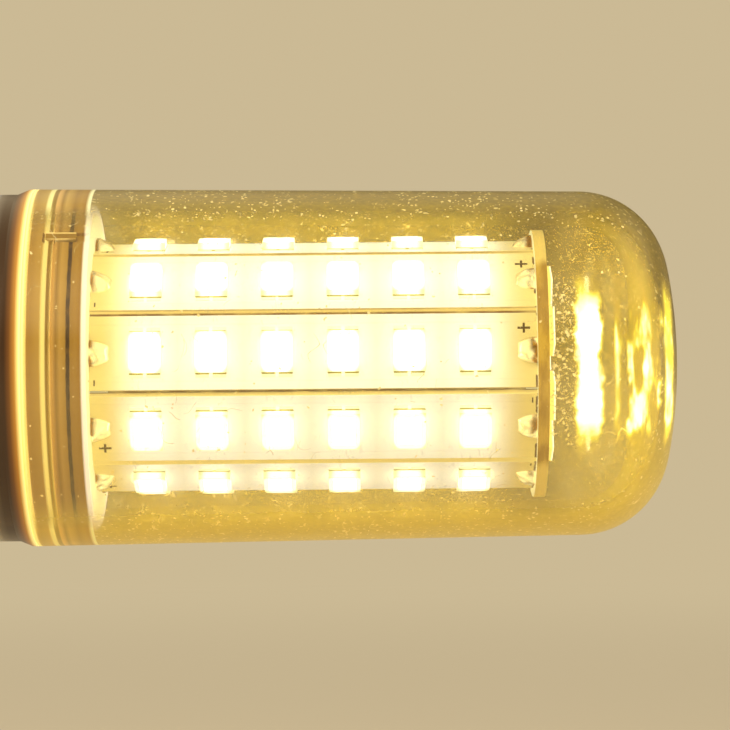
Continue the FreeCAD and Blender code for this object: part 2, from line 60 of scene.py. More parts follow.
# Cover
COVER_WALL = 1.2 * MM
COVER_DRAFT_ANGLE = math.radians(0.7)
COVER_DRAFT = math.tan(COVER_DRAFT_ANGLE)
COVER_CORNER_R = 8.0 * MM
COVER_CAP_R = 45.0 * MM
COVER_EDGE_R = 0.12 * MM
COVER_SEGMENTS, WALL_STEPS, CORNER_STEPS, CAP_STEPS = 224, 24, 20, 16
COLLAR_L = RIM_X - MOUTH_X
CAUGHT_CLUSTERS, CAUGHT_TURN = 3, math.radians(-1.0)
CAUGHT_SHINE = [
    (0.0, (0.0, 0.0, 0.0)),
    (0.25, (0.50, 0.34, 0.02)),
    (0.45, (1.1, 0.98, 0.06)),
    (0.65, (1.4, 1.3, 0.60)),
    (1.0, (2.0, 1.95, 1.6)),
]
# Share of the far wall under the film's painted golden light
FAR_GLOW = 0.5
BEAD_X, BEAD_H, BEAD_TIP_L, BEAD_FOOT_L = 2.1 * MM, 0.38 * MM, 0.23 * MM, 0.79 * MM
KEY_ANGLES = (48.2, 228.2)
KEY_FROM, KEY_TO, KEY_W, KEY_H = 1.6 * MM, 4.4 * MM, 0.9 * MM, 0.36 * MM

# Column of strips
STRIP_COUNT = 10
STRIP_CLOCK = 6.3
STRIP_FACE, STRIP_BACK = 10.75 * MM, 9.95 * MM
LED_L, LED_W = 3.5 * MM, 2.8 * MM
LED_PITCH = 5.75 * MM
LEDS_PER_STRIP = 6
FIRST_LED = RIM_X + 4.85 * MM
STRIP_GLOW, TOP_GLOW = 14.0, 80.0
SOLDER_L, SOLDER_H, SOLDER_W = 1.7 * MM, 1.15 * MM, 2.3 * MM
SOLDER_SEED = 11

# Screw shell
THREAD_CREST_R, THREAD_DEPTH, THREAD_PITCH = 13.1 * MM, 0.9 * MM, 3.629 * MM
THREAD_FROM, THREAD_TO = SHELL_X + 2.0 * MM, SHELL_X + 17.4 * MM
SHEET = 0.3 * MM
LIP_R = 9.3 * MM
SHELL_CORNER = 1.3 * MM
SHELL_RIM_L, SHELL_FLARE_L = 2.6 * MM, 1.4 * MM
SHELL_SEGMENTS, SHELL_BEND_STEPS, THREAD_STEPS = 160, 6, 14

# Camera, from the photograph
CAMERA_X = 74.5 * MM
CAMERA_DISTANCE = 290 * MM
VIEW_WIDTH = 66.0 * MM
CAMERA_ROLL = -0.5

# Stage, whose floor melts into the even backdrop from EVEN_FROM to EVEN_TO
FLOOR_Z = -58 * MM
FLOOR_REACH = 4.0
EVEN_FROM, EVEN_TO = 0.18, 0.55
BACKDROP = (0.60, 0.49, 0.30)
STUDIO_COLOUR, STUDIO_STRENGTH = (1.0, 0.98, 0.95), 0.6
LAMP_COLOUR, LAMP_SIZE = (1.0, 0.97, 0.92), 0.6
STUDIO_HEIGHT = [(0.0, 1.0), (0.10, 0.80), (0.30, 0.45), (0.50, 1.4), (0.80, 1.5), (1.0, 0.8)]
STUDIO_SIDE = [(0.0, 0.5), (0.30, 1.3), (0.45, 1.1), (0.62, 0.35), (0.80, 0.9), (1.0, 1.2)]


class Nodes:
    """A node tree, with short calls for the nodes that the finishes share."""

    def __init__(self, tree):
        self.tree = tree

    def put(self, socket, value):
        """A link where the value is a socket, and a plain value otherwise."""
        if isinstance(value, bpy.types.NodeSocket):
            self.tree.links.new(value, socket)
        elif socket.type == "RGBA" and len(value) == 3:
            socket.default_value = (*value, 1)
        else:
            socket.default_value = value

    def add(self, kind, inputs=None, **settings):
        """A new node, with its inputs given by number or name and its settings by name."""
        node = self.tree.nodes.new(kind)
        for name, value in settings.items():
            setattr(node, name, value)
        for key, value in (inputs or {}).items():
            self.put(node.inputs[key], value)
        return node

    def math(self, operation, *values):
        node = self.add("ShaderNodeMath", operation=operation)
        for socket, value in zip(node.inputs, values):
            self.put(socket, value)
        return node.outputs[0]

    def chain(self, operation, values):
        """One operation through all the values, from the first to the last."""
        result = values[0]
        for value in values[1:]:
            result = self.math(operation, result, value)
        return result

    def total(self, *values):
        return self.chain("ADD", values)

    def product(self, *values):
        return self.chain("MULTIPLY", values)

    def most(self, *values):
        """The largest of the values."""
        return self.chain("MAXIMUM", values)

    def mix(self, factor, first, second):
        node = self.add("ShaderNodeMix", data_type="RGBA")
        for index, value in ((0, factor), (6, first), (7, second)):
            self.put(node.inputs[index], value)
        return node.outputs[2]

    def tinted(self, first, second):
        """Two colours multiplied."""
        node = self.add("ShaderNodeMix", data_type="RGBA", blend_type="MULTIPLY")
        for index, value in ((0, 1.0), (6, first), (7, second)):
            self.put(node.inputs[index], value)
        return node.outputs[2]

    def away(self, value, centre):
        """How far value lies from centre."""
        return self.math("ABSOLUTE", self.math("SUBTRACT", value, centre))

    def remap(self, value, low, high, to_low=0.0, to_high=1.0):
        """A smooth step from low to high."""
        node = self.add("ShaderNodeMapRange", interpolation_type="SMOOTHSTEP")
        for socket, number in zip(node.inputs, (value, low, high, to_low, to_high)):
            self.put(socket, number)
        return node.outputs[0]

    def ramp(self, value, stops):
        """A colour from (place, colour) stops along value."""
        node = self.add("ShaderNodeValToRGB", {0: value})
        elements = node.color_ramp.elements
        while len(elements) < len(stops):
            elements.new(1)
        for element, (place, colour) in zip(elements, stops):
            element.position = place
            element.color = (*colour, 1)
        return node.outputs[0]

    def place(self):
        """Place in the piece's own coordinates."""
        return self.add("ShaderNodeTexCoord").outputs["Object"]

    def parts(self, vector):
        return self.add("ShaderNodeSeparateXYZ", {0: vector}).outputs

    def stretched(self, vector, scale):
        return self.add("ShaderNodeVectorMath", {0: vector, 1: scale}, operation="MULTIPLY").outputs[0]

    def length(self, vector):
        return self.add("ShaderNodeVectorMath", {0: vector}, operation="LENGTH").outputs["Value"]

    def radius(self):
        """Distance from the bulb's axis."""
        return self.length(self.stretched(self.place(), (0.0, 1.0, 1.0)))

    def grain(self, scale, detail=3.0, vector=None):
        """A noise of so many cells a metre."""
        inputs = {"Vector": vector or self.place(), "Scale": scale, "Detail": detail}
        return self.add("ShaderNodeTexNoise", inputs).outputs["Fac"]

    def cells(self, scale, vector=None, feature="F1"):
        inputs = {"Vector": vector or self.place(), "Scale": scale}
        return self.add("ShaderNodeTexVoronoi", inputs, feature=feature)

    def spots(self, scale, power, size, vector):
        """Round spots, at most one to a cell. A high power makes most of them small."""
        cells = self.cells(scale, vector)
        share = self.math("POWER", self.parts(cells.outputs["Color"])[0], power)
        return self.math("LESS_THAN", cells.outputs["Distance"], self.product(share, size))


class Finish(Nodes):
    """A node material round one principled shader."""

    def __init__(self, name):
        self.material = bpy.data.materials.new(name)
        self.material.use_nodes = True
        super().__init__(self.material.node_tree)
        self.surface = self.tree.nodes["Principled BSDF"]
        self.output = self.tree.nodes["Material Output"]

    def set(self, **values):
        """Sets or links the shader's sockets, named in lower case with underscores."""
        for name, value in values.items():
            words = [word.upper() if word == "ior" else word.capitalize() for word in name.split("_")]
            self.put(self.surface.inputs[" ".join(words)], value)

    def bump(self, height, distance, strength):
        """A relief from height, as deep as distance where height is 1."""
        inputs = {"Height": height, "Distance": distance, "Strength": strength}
        self.set(normal=self.add("ShaderNodeBump", inputs).outputs[0])
        return self

    def strip_place(self):
        """Place along the axis, across the nearest strip and out from the axis."""
        x, y, z = self.parts(self.place())
        angle = self.math("ARCTAN2", z, self.math("MULTIPLY", y, -1.0))
        step = math.tau / STRIP_COUNT
        from_clock = self.math("SUBTRACT", angle, math.radians(STRIP_CLOCK) - step / 2)
        local = self.math("SUBTRACT", self.math("FLOORED_MODULO", from_clock, step), step / 2)
        radius = self.radius()
        across = self.product(radius, self.math("SINE", local))
        out = self.product(radius, self.math("COSINE", local))
        return x, across, out

    def led_distance(self, x, across):
        """How far, in half sizes of a package, a place lies from the nearest package of its strip."""
        steps = self.math("DIVIDE", self.math("SUBTRACT", x, FIRST_LED), LED_PITCH)
        nearest = self.math("ROUND", steps)
        nearest = self.math("MINIMUM", self.math("MAXIMUM", nearest, 0.0), LEDS_PER_STRIP - 1.0)
        along = self.product(self.math("SUBTRACT", steps, nearest), LED_PITCH / (LED_W / 2))
        over = self.math("DIVIDE", across, LED_L / 2)
        power = [self.math("POWER", self.math("ABSOLUTE", side), 3.0) for side in (along, over)]
        return self.math("POWER", self.total(*power), 1 / 3)


# Finishes


def collar_light_and_shade(f, depth):
    """The colours along the collar and the cover over it, by the depth from the cover's mouth: painted light
    in the bright lines and painted shade in the dark bands.
    """
    bright, dark = (1.00, 0.88, 0.30), (0.27, 0.15, 0.007)
    stops = [
        (0.00, (1.00, 0.88, 0.28)),
        (0.28, (0.95, 0.78, 0.22)),
        (0.46, (0.46, 0.27, 0.04)),
        (0.80, (0.42, 0.24, 0.03)),
        (1.50, (0.52, 0.32, 0.05)),
        (1.66, bright),
        (1.96, bright),
        (2.06, dark),
        (2.34, dark),
        (2.45, (0.74, 0.42, 0.10)),
        (2.70, (0.62, 0.35, 0.07)),
        (2.95, (0.30, 0.15, 0.006)),
        (3.30, (0.54, 0.32, 0.05)),
        (3.65, (0.46, 0.26, 0.03)),
        (4.05, (0.32, 0.16, 0.008)),
        (4.60, (0.40, 0.21, 0.012)),
        (5.00, (0.34, 0.16, 0.003)),
        (5.25, (1.00, 0.95, 0.45)),
    ]
    shares = [(place * MM / COLLAR_L, colour) for place, colour in stops]
    return f.ramp(f.math("DIVIDE", depth, COLLAR_L), shares)


def board_finish():
    """Pale yellow mask on the face and tan laminate on the edges, with painted light from the packages near
    them and painted shade in the grooves between strips.
    """
    f = Finish("white_board")
    x, across, out = f.strip_place()
    face = f.remap(out, STRIP_FACE - 0.06 * MM, STRIP_FACE - 0.02 * MM)
    distance = f.led_distance(x, across)
    near = f.remap(distance, 3.0, 1.1)
    halo = f.remap(distance, 1.32, 1.02)
    # Painted warm light: the white mask is drawn pale yellow, warmer towards the strips' ends, where the
    # painted glow is weaker
    ends = f.remap(f.away(x, (RIM_X + PLATE_X) / 2), 14.6 * MM, 18.8 * MM)
    mask = f.mix(ends, (0.95, 0.95, 0.60), (0.93, 0.78, 0.30))
    mask = f.mix(f.product(f.grain(220.0, 2.0), 0.3), mask, (0.95, 0.84, 0.40))
    track = f.remap(f.away(f.math("ABSOLUTE", across), 2.45 * MM), 0.08 * MM, 0.04 * MM)
    mask = f.mix(f.product(track, 0.25), mask, (0.78, 0.64, 0.25))
    dashes = f.remap(f.grain(1300.0, 2.0), 0.44, 0.52)
    joint = f.product(f.remap(x, PLATE_X - 0.22 * MM, PLATE_X - 0.12 * MM), dashes)
    mask = f.mix(joint, mask, (0.15, 0.06, 0.0))

    fibre = f.grain(900.0, 3.0, f.stretched(f.place(), (0.15, 1.0, 1.0)))
    laminate = f.mix(fibre, (0.58, 0.44, 0.12), (0.78, 0.64, 0.24))
    # Painted shade in the grooves between strips: at the groove's back, and along the face's corner on each
    # strip's lower side
    near_face = f.remap(out, STRIP_FACE - 0.26 * MM, STRIP_FACE - 0.16 * MM)
    low_side = f.math("LESS_THAN", across, 0.0)
    from_back = f.math("SUBTRACT", out, f.total(STRIP_BACK, f.product(low_side, 0.14 * MM)))
    deep = f.remap(from_back, 0.22 * MM, 0.10 * MM)
    shaded_corner = f.product(near_face, low_side, 0.6)
    dark = f.product(f.most(shaded_corner, deep), f.remap(f.grain(500.0, 2.0), 0.25, 0.6, 0.35, 0.9))
    edge = f.mix(dark, laminate, (0.24, 0.09, 0.004))
    f.set(base_color=f.mix(face, edge, mask), roughness=0.32, coat_weight=0.15, coat_roughness=0.2)

    # Painted light: the mask glows, most round the packages, and the laminate glows outside its painted
    # shade
    glow = f.mix(near, (0.32, 0.40, 0.50), (0.54, 0.64, 0.84))
    glow = f.mix(ends, glow, (0.16, 0.14, 0.06))
    glow = f.mix(halo, glow, (1.5, 1.45, 1.05))
    glow = f.mix(joint, glow, (0.0, 0.0, 0.0))
    edge_glow = f.mix(dark, (0.52, 0.46, 0.17), (0.03, 0.01, 0.0))
    f.set(emission_color=f.mix(face, edge_glow, glow), emission_strength=0.8)
    relief = f.total(f.product(track, 0.4), f.product(f.grain(2600.0, 2.0), 0.15))
    return f.bump(relief, 0.03 * MM, 0.5).material


def disc_finish():
    """The two round boards: pale yellow mask on their faces and mottled tan laminate round their rims, with
    a painted glow, and the rims painted paler towards their top and bottom.
    """
    f = Finish("round_board")
    normal = f.parts(f.add("ShaderNodeNewGeometry").outputs["Normal"])[0]
    face = f.remap(f.math("ABSOLUTE", normal), 0.5, 0.9)
    fibre = f.grain(1100.0, 3.0, f.stretched(f.place(), (1.0, 0.3, 0.3)))
    rim = f.mix(f.remap(fibre, 0.35, 0.65), (0.42, 0.24, 0.02), (0.72, 0.47, 0.06))
    # Painted light: the rims are paler towards their top and bottom
    upright = f.math("ABSOLUTE", f.parts(f.place())[2])
    rim_light = f.remap(f.total(upright, f.product(fibre, 1.0 * MM)), 8.6 * MM, 9.8 * MM)
    rim = f.mix(f.product(rim_light, 0.8), rim, (0.86, 0.68, 0.20))
    # The mask's pale yellow is painted warm light
    mask = f.mix(f.grain(300.0), (0.95, 0.92, 0.50), (0.97, 0.95, 0.62))
    f.set(base_color=f.mix(face, rim, mask), roughness=0.38)
    # Painted glow on the faces and on the rims
    rim_glow = f.mix(rim_light, (0.05, 0.03, 0.0), (0.26, 0.19, 0.04))
    f.set(emission_color=f.mix(face, rim_glow, (0.5, 0.54, 0.36)), emission_strength=0.8)
    return f.bump(f.grain(2600.0, 2.0), 0.02 * MM, 0.4).material


def package_finish():
    """Lit white plastic with a painted glow: blown out on top and softer at the corners, with an olive line
    of painted shadow round the foot.
    """
    f = Finish("led_package")
    x, across, out = f.strip_place()
    # Painted shadow: an olive line round the package's foot
    foot = f.remap(out, STRIP_FACE + 0.16 * MM, STRIP_FACE + 0.08 * MM)
    mottle = f.grain(900.0)
    olive = f.mix(mottle, (0.34, 0.31, 0.02), (0.50, 0.46, 0.06))
    f.set(base_color=f.mix(foot, (0.95, 0.93, 0.72), olive), roughness=0.4)
    # Painted glow, dimmer towards the corners
    corner = f.remap(f.led_distance(x, across), 1.02, 1.2)
    lit = f.mix(corner, (1.0, 0.98, 0.80), (0.30, 0.32, 0.16))
    f.set(emission_color=f.mix(foot, lit, (0.06, 0.06, 0.0)), emission_strength=1.6)
    return f.bump(f.grain(3000.0, 2.0), 0.01 * MM, 0.3).material


def top_package_finish():
    """Lit white plastic for the packages that face the dome: a painted glow, white on top and yellow on the
    sides.
    """
    f = Finish("top_package")
    depth = f.math("SUBTRACT", f.parts(f.place())[0], PLATE_END_X)
    top = f.remap(depth, 0.5 * MM, 0.68 * MM)
    # Painted light: the sides yellow, the top white and glowing
    side = f.mix(f.grain(900.0), (0.95, 0.74, 0.12), (1.0, 0.86, 0.22))
    f.set(base_color=f.mix(top, side, (0.95, 0.92, 0.7)), roughness=0.4)
    f.set(emission_color=f.mix(top, (0.55, 0.44, 0.12), (1.0, 0.95, 0.75)), emission_strength=1.2)
    return f.bump(f.grain(3000.0, 2.0), 0.01 * MM, 0.3).material


def phosphor_finish(name, strength):
    """The lit fill: a warm white that outshines all else, with faint grains."""
    f = Finish(name)
    grains = f.cells(3500.0).outputs["Distance"]
    f.set(base_color=f.mix(grains, (1.0, 0.83, 0.42), (1.0, 0.72, 0.25)), roughness=0.5)
    f.set(emission_color=f.mix(grains, (1.0, 0.86, 0.54), (1.0, 0.80, 0.44)), emission_strength=strength)
    return f.bump(grains, 0.02 * MM, 0.3).material


def housing_finish():
    """White moulding with a painted glow where light leaks into it and a dark ring of painted shade past the
    mouth, and gold bands of painted light and shade on the collar.
    """
    f = Finish("white_housing")
    depth = f.math("SUBTRACT", f.parts(f.place())[0], MOUTH_X)
    glow_l = 5.0 * MM
    # Painted light and shade past the mouth: an orange glow, then a dark ring of painted shade, then the
    # white moulding
    stops = [
        (0.00, (1.00, 0.86, 0.32)),
        (0.20, (0.92, 0.64, 0.16)),
        (0.50, (0.55, 0.24, 0.025)),
        (0.95, (0.19, 0.065, 0.006)),
        (1.40, (0.05, 0.018, 0.002)),
        (2.20, (0.05, 0.022, 0.006)),
        (2.80, (0.14, 0.10, 0.06)),
        (3.90, (0.66, 0.62, 0.53)),
        (5.00, (0.80, 0.78, 0.70)),
    ]
    outside = f.math("DIVIDE", depth, -glow_l)
    shade = f.ramp(outside, [(place * MM / glow_l, colour) for place, colour in stops])
    # The collar's painted light and shade, with streaks and a dark seam line
    bands = collar_light_and_shade(f, depth)
    seam_x = f.total(3.90 * MM, f.product(f.grain(900.0, 3.0), 0.16 * MM))
    broken = f.remap(f.grain(1100.0, 2.0), 0.36, 0.50, 0.8, 1.0)
    streak = f.grain(260.0, 4.0, f.stretched(f.place(), (3.0, 1.0, 1.0)))
    bands = f.mix(f.product(streak, 0.2), bands, (0.70, 0.46, 0.12))
    seam = f.product(f.remap(f.away(depth, seam_x), 0.21 * MM, 0.12 * MM), broken)
    bands = f.mix(seam, bands, (0.04, 0.01, 0.0))
    under = f.remap(depth, -0.02 * MM, 0.02 * MM)
    f.set(base_color=f.mix(under, shade, bands), roughness=0.35, coat_weight=0.1, coat_roughness=0.15)
    # Painted light: bright lines at the mouth and the groove, and a glow on the collar's rim
    mouth = f.product(f.remap(depth, -0.50 * MM, 0.05 * MM), f.remap(depth, 0.46 * MM, 0.30 * MM))
    groove = f.remap(f.away(depth, 1.81 * MM), 0.23 * MM, 0.12 * MM)
    lit = f.mix(f.most(mouth, groove), (0.0, 0.0, 0.0), (0.60, 0.50, 0.18))
    lit = f.mix(f.remap(depth, 5.0 * MM, 5.2 * MM), lit, (0.5, 0.5, 0.60))
    f.set(emission_color=lit, emission_strength=1.0)
    return f.bump(f.grain(1500.0, 3.0), 0.02 * MM, 0.35).material


def caught_light(f, x, y, z):
    """Streaks of the top ring's light on the dome, in clusters round the axis, and dots beside them."""
    angle = f.math("ARCTAN2", z, f.math("MULTIPLY", y, -1.0))
    turned_angle = f.product(f.math("SUBTRACT", angle, CAUGHT_TURN), float(CAUGHT_CLUSTERS))
    uneven = f.product(f.math("SUBTRACT", f.grain(420.0, 3.0), 0.5), 0.9)
    cluster = f.total(f.math("COSINE", turned_angle), uneven)
    speckle = f.product(f.math("SUBTRACT", f.grain(650.0, 4.0), 0.5), 1.6 * MM)
    from_tip = f.total(f.math("SUBTRACT", TIP_X, x), f.product(uneven, 0.5 * MM))
    ragged = f.total(from_tip, speckle)

    def band(place, middle, half, soft, ends):
        """A band across the axis, in millimetres from the tip, as long as the cluster's ends allow."""
        across = f.remap(f.away(place, middle * MM), (half + soft) * MM, (half - soft) * MM)
        return f.product(across, f.remap(cluster, *ends))

    strokes = f.remap(f.grain(950.0, 2.0, f.stretched(f.place(), (1.0, 0.28, 0.28))), 0.44, 0.66)
    blob = band(ragged, 8.8, 1.05, 0.45, (-0.25, 0.85))
    line = f.product(band(from_tip, 6.3, 0.35, 0.25, (0.0, 0.5)), f.total(0.25, f.product(strokes, 0.5)))
    patches = f.product(band(ragged, 4.0, 1.6, 0.4, (-0.2, 0.5)), f.total(0.10, f.product(strokes, 0.75)))
    rim = f.product(band(from_tip, 1.5, 0.45, 0.25, (-0.75, 0.2)), f.total(0.45, f.product(strokes, 0.45)))
    dots = f.product(band(ragged, 10.7, 1.2, 0.4, (-0.4, 0.4)), f.remap(f.grain(2400.0, 3.0), 0.52, 0.66))
    return f.most(blob, line, patches, rim), dots


def dust_marks(f):
    """Dust with hairs, swirling scratches and fine specks, each from 0 to 1."""
    warp = f.add("ShaderNodeTexNoise", {"Vector": f.place(), "Scale": 900.0, "Detail": 2.0})
    shift = f.stretched(warp.outputs["Color"], (0.9 * MM, 0.9 * MM, 0.9 * MM))
    warped = f.add("ShaderNodeVectorMath", {0: f.place(), 1: shift}, operation="ADD").outputs[0]
    dust = f.spots(1300.0, 4.0, 0.17, warped)
    curve = f.remap(f.away(f.grain(330.0, 1.0), 0.5), 0.005, 0.001)
    hair = f.product(curve, f.remap(f.grain(240.0, 2.0), 0.62, 0.66))
    swirls = f.remap(f.grain(2300.0, 3.0, f.stretched(warped, (1.0, 0.45, 0.45))), 0.62, 0.70)
    patchy = f.remap(f.grain(150.0, 3.0), 0.35, 0.65, 0.25, 1.0)
    specks = f.product(f.spots(2700.0, 3.0, 0.42, warped), patchy)
    return f.most(dust, hair), swirls, specks


def cover_finish():
    """Clear moulded plastic in golden light, tinted warm as painted light, under a film that gathers dust,
    specks and caught light and carries painted light and shade.
    """
    f = Finish("clear_cover")
    x, y, z = f.parts(f.place())
    depth = f.math("SUBTRACT", x, MOUTH_X)
    # The warm tint is painted golden light
    f.set(base_color=(1.0, 0.955, 0.82), roughness=0.0, ior=1.49, transmission_weight=1.0)
    f.set(coat_weight=1.0, coat_roughness=0.10)
    f.bump(f.grain(500.0, 3.0), 0.02 * MM, 0.10)

    # The far wall shows its inside, so the normal seen there points inwards
    normal = f.add("ShaderNodeTexCoord").outputs["Normal"]
    outwards = f.add("ShaderNodeCombineXYZ", {0: f.math("SUBTRACT", x, RIM_X), 1: y, 2: z}).outputs[0]
    turned_out = f.add("ShaderNodeVectorMath", {0: normal, 1: outwards}, operation="DOT_PRODUCT")
    far = f.math("LESS_THAN", turned_out.outputs["Value"], 0.0)
    near = f.math("SUBTRACT", 1.0, far)

    # The other regions
    facing = f.add("ShaderNodeLayerWeight", {"Blend": 0.5}).outputs["Facing"]
    edge = f.remap(facing, 0.28, 0.62)
    # Painted light: the lower side is lit more
    low = f.remap(z, 6 * MM, -14 * MM)
    column_start = f.remap(x, RIM_X + 0.5 * MM, RIM_X + 3.0 * MM)
    column_end = f.remap(x, PLATE_X + 1.0 * MM, PLATE_X - 4.5 * MM)
    over_column = f.product(column_start, column_end)
    over_collar = f.product(f.remap(depth, COLLAR_L, COLLAR_L - 0.1 * MM), f.remap(facing, 0.42, 0.60))
    mouth = f.remap(depth, 0.42 * MM, 0.22 * MM)
    inside = f.math("LESS_THAN", f.radius(), COVER_R - COVER_WALL / 2)
    half_bead = BEAD_FOOT_L / 2
    bead = f.remap(f.away(depth, BEAD_X), half_bead + 0.02 * MM, half_bead - 0.02 * MM)
    bead = f.product(bead, inside)
    flank = f.product(bead, f.remap(depth, 2.02 * MM, 1.95 * MM))

    # What lies on the film: dust, hairs, scratches and specks, with painted glints on them that are brighter
    # level with the LEDs, and the caught light.
    steps = f.math("DIVIDE", f.math("SUBTRACT", x, FIRST_LED), LED_PITCH)
    burst = f.product(f.remap(f.math("COSINE", f.product(steps, math.tau)), -0.6, 1.0), over_column)
    marks, swirls, specks = dust_marks(f)
    glitter = f.product(swirls, f.total(0.2, f.product(burst, 0.6)))
    glitter = f.most(glitter, f.product(specks, f.remap(facing, 0.08, 0.30)))
    streaks, dots = caught_light(f, x, y, z)
    caught, dots = f.product(streaks, near), f.product(dots, near)

    # How far the film covers the clear plastic. Besides dust and specks, it carries painted light and shade,
    # most at the grazing edges, and on the lower side, the far wall, the collar, the mouth and the bead.
    dust_and_light = f.total(0.04, f.product(edge, 0.72), f.product(low, 0.03), f.product(burst, 0.03))
    dust_and_light = f.total(dust_and_light, f.product(glitter, over_column, f.total(0.15, f.product(edge, 0.6))))
    dust_and_light = f.most(dust_and_light, f.product(far, FAR_GLOW), f.product(dots, 0.75), f.product(marks, 0.8))
    dust_and_light = f.most(dust_and_light, f.product(f.most(over_collar, caught, mouth), 0.85), f.product(bead, 0.8))

    # The film's colour, and the light that it gives off: a dark gold tone of painted shade, brighter painted
    # light on the lower side, painted golden light on the far wall, painted glints on dust, scratches and
    # dots, the collar's painted light and shade, and painted light at the mouth and the bead's flank.
    mottle = f.grain(2200.0, 2.0)
    film = f.mix(mottle, (0.10, 0.06, 0.001), (0.32, 0.21, 0.008))
    film = f.mix(low, film, f.mix(mottle, (0.44, 0.30, 0.02), (0.68, 0.50, 0.06)))
    film = f.mix(far, film, (0.31, 0.24, 0.0))
    film = f.mix(f.most(marks, glitter, dots), film, (0.95, 0.76, 0.30))
    film = f.mix(f.most(over_collar, bead), film, collar_light_and_shade(f, depth))
    film = f.mix(mouth, film, (1.0, 0.86, 0.30))
    golden = f.add("ShaderNodeBsdfPrincipled", {"Base Color": film, "Roughness": 0.4})
    lit = f.ramp(caught, CAUGHT_SHINE)
    shine = f.mix(f.product(low, near), lit, (0.22, 0.14, 0.01))
    shine = f.mix(f.remap(caught, 0.0, 0.25), shine, lit)
    shine = f.mix(f.most(mouth, flank), shine, (0.40, 0.32, 0.08))
    f.put(golden.inputs["Emission Color"], shine)
    f.put(golden.inputs["Emission Strength"], 1.0)

    # Light passes straight through, so that the LEDs and the studio light what lies on the other side.
    inputs = {0: f.math("MINIMUM", dust_and_light, 0.9), 1: f.surface.outputs[0], 2: golden.outputs[0]}
    dusty = f.add("ShaderNodeMixShader", inputs)
    clear = f.add("ShaderNodeBsdfTransparent", {"Color": (0.96, 0.93, 0.84)})
    path = f.add("ShaderNodeLightPath").outputs
    through = f.most(path["Is Shadow Ray"], path["Is Diffuse Ray"])
    shader = f.add("ShaderNodeMixShader", {0: through, 1: dusty.outputs[0], 2: clear.outputs[0]})
    f.put(f.output.inputs[0], shader.outputs[0])
    return f.material


def key_finish():
    """The same plastic as the cover, drawn dark gold as painted shade, with painted light gathered along its
    two long edges.
    """
    f = Finish("cover_keys")
    _, y, z = f.parts(f.place())
    turn = math.radians(KEY_ANGLES[0])
    across = f.total(f.product(z, math.cos(turn)), f.product(y, math.sin(turn)))
    long_edge = f.remap(f.math("ABSOLUTE", across), KEY_W / 2 - 0.22 * MM, KEY_W / 2 - 0.08 * MM)
    streak = f.remap(f.grain(700.0, 3.0, f.stretched(f.place(), (0.4, 1.0, 1.0))), 0.35, 0.65)
    bright = f.product(long_edge, streak)
    f.set(base_color=f.mix(bright, (0.30, 0.16, 0.015), (0.90, 0.66, 0.24)), roughness=0.2)
    f.set(emission_color=f.mix(bright, (0.05, 0.025, 0.0), (0.34, 0.25, 0.08)), emission_strength=0.8)
    return f.bump(streak, 0.02 * MM, 0.3).material


def solder_finish():
    """Bright solder, yellow in the light and with a painted glow, and painted shade in olive creases, at the
    grazing edges and as a brown foot against the round boards.
    """
    f = Finish("solder")
    x = f.parts(f.place())[0]
    # Painted shade: olive creases, darker grazing edges and a brown foot by the round boards
    crease = f.remap(f.away(f.grain(430.0, 1.0), 0.5), 0.060, 0.0)
    lower_foot = f.remap(x, RIM_X + 0.6 * MM, RIM_X + 0.1 * MM)
    upper_foot = f.remap(x, PLATE_X - 0.95 * MM, PLATE_X - 0.3 * MM)
    foot = f.most(lower_foot, upper_foot)
    foot = f.product(foot, f.remap(f.grain(600.0, 2.0), 0.38, 0.52))
    facing = f.add("ShaderNodeLayerWeight", {"Blend": 0.5}).outputs["Facing"]
    shaded = f.product(f.remap(facing, 0.30, 0.75), 0.75)
    colour = f.mix(f.product(crease, 0.3), (0.98, 0.92, 0.50), (0.42, 0.30, 0.05))
    colour = f.mix(f.product(shaded, 0.8), colour, (0.46, 0.27, 0.03))
    f.set(base_color=f.mix(foot, colour, (0.42, 0.20, 0.03)), metallic=0.85, roughness=0.16)
    # Painted glow, dark where the shade is painted
    dark = f.most(f.product(crease, 0.4), shaded, foot)
    f.set(emission_color=f.mix(dark, (0.85, 0.82, 0.50), (0.04, 0.03, 0.0)), emission_strength=0.8)
    return f.bump(f.grain(900.0, 2.0), 0.05 * MM, 0.4).material


def print_finish():
    """Dark brown ink, a little uneven."""
    f = Finish("print_ink")
    ink = f.grain(2500.0, 3.0)
    f.set(base_color=f.mix(ink, (0.07, 0.035, 0.004), (0.16, 0.09, 0.012)), roughness=0.6)
    return f.bump(ink, 0.01 * MM, 0.5).material


def pad_finish():
    """Solder at the packages' feet: an olive line of painted shadow in their lee, bright with a painted glow
    beyond it.
    """
    f = Finish("led_pads")
    across = f.math("ABSOLUTE", f.strip_place()[1])
    # Painted shadow beside the package, painted glow beyond it
    lee = f.remap(across, LED_L / 2 + 0.16 * MM, LED_L / 2 + 0.11 * MM)
    olive = f.mix(f.grain(1800.0, 3.0), (0.34, 0.31, 0.01), (0.52, 0.48, 0.06))
    f.set(base_color=f.mix(lee, (0.95, 0.95, 0.62), olive), roughness=0.3)
    f.set(emission_color=f.mix(lee, (0.60, 0.62, 0.48), (0.02, 0.02, 0.0)), emission_strength=0.8)
    return f.bump(f.grain(1500.0), 0.02 * MM, 0.5).material


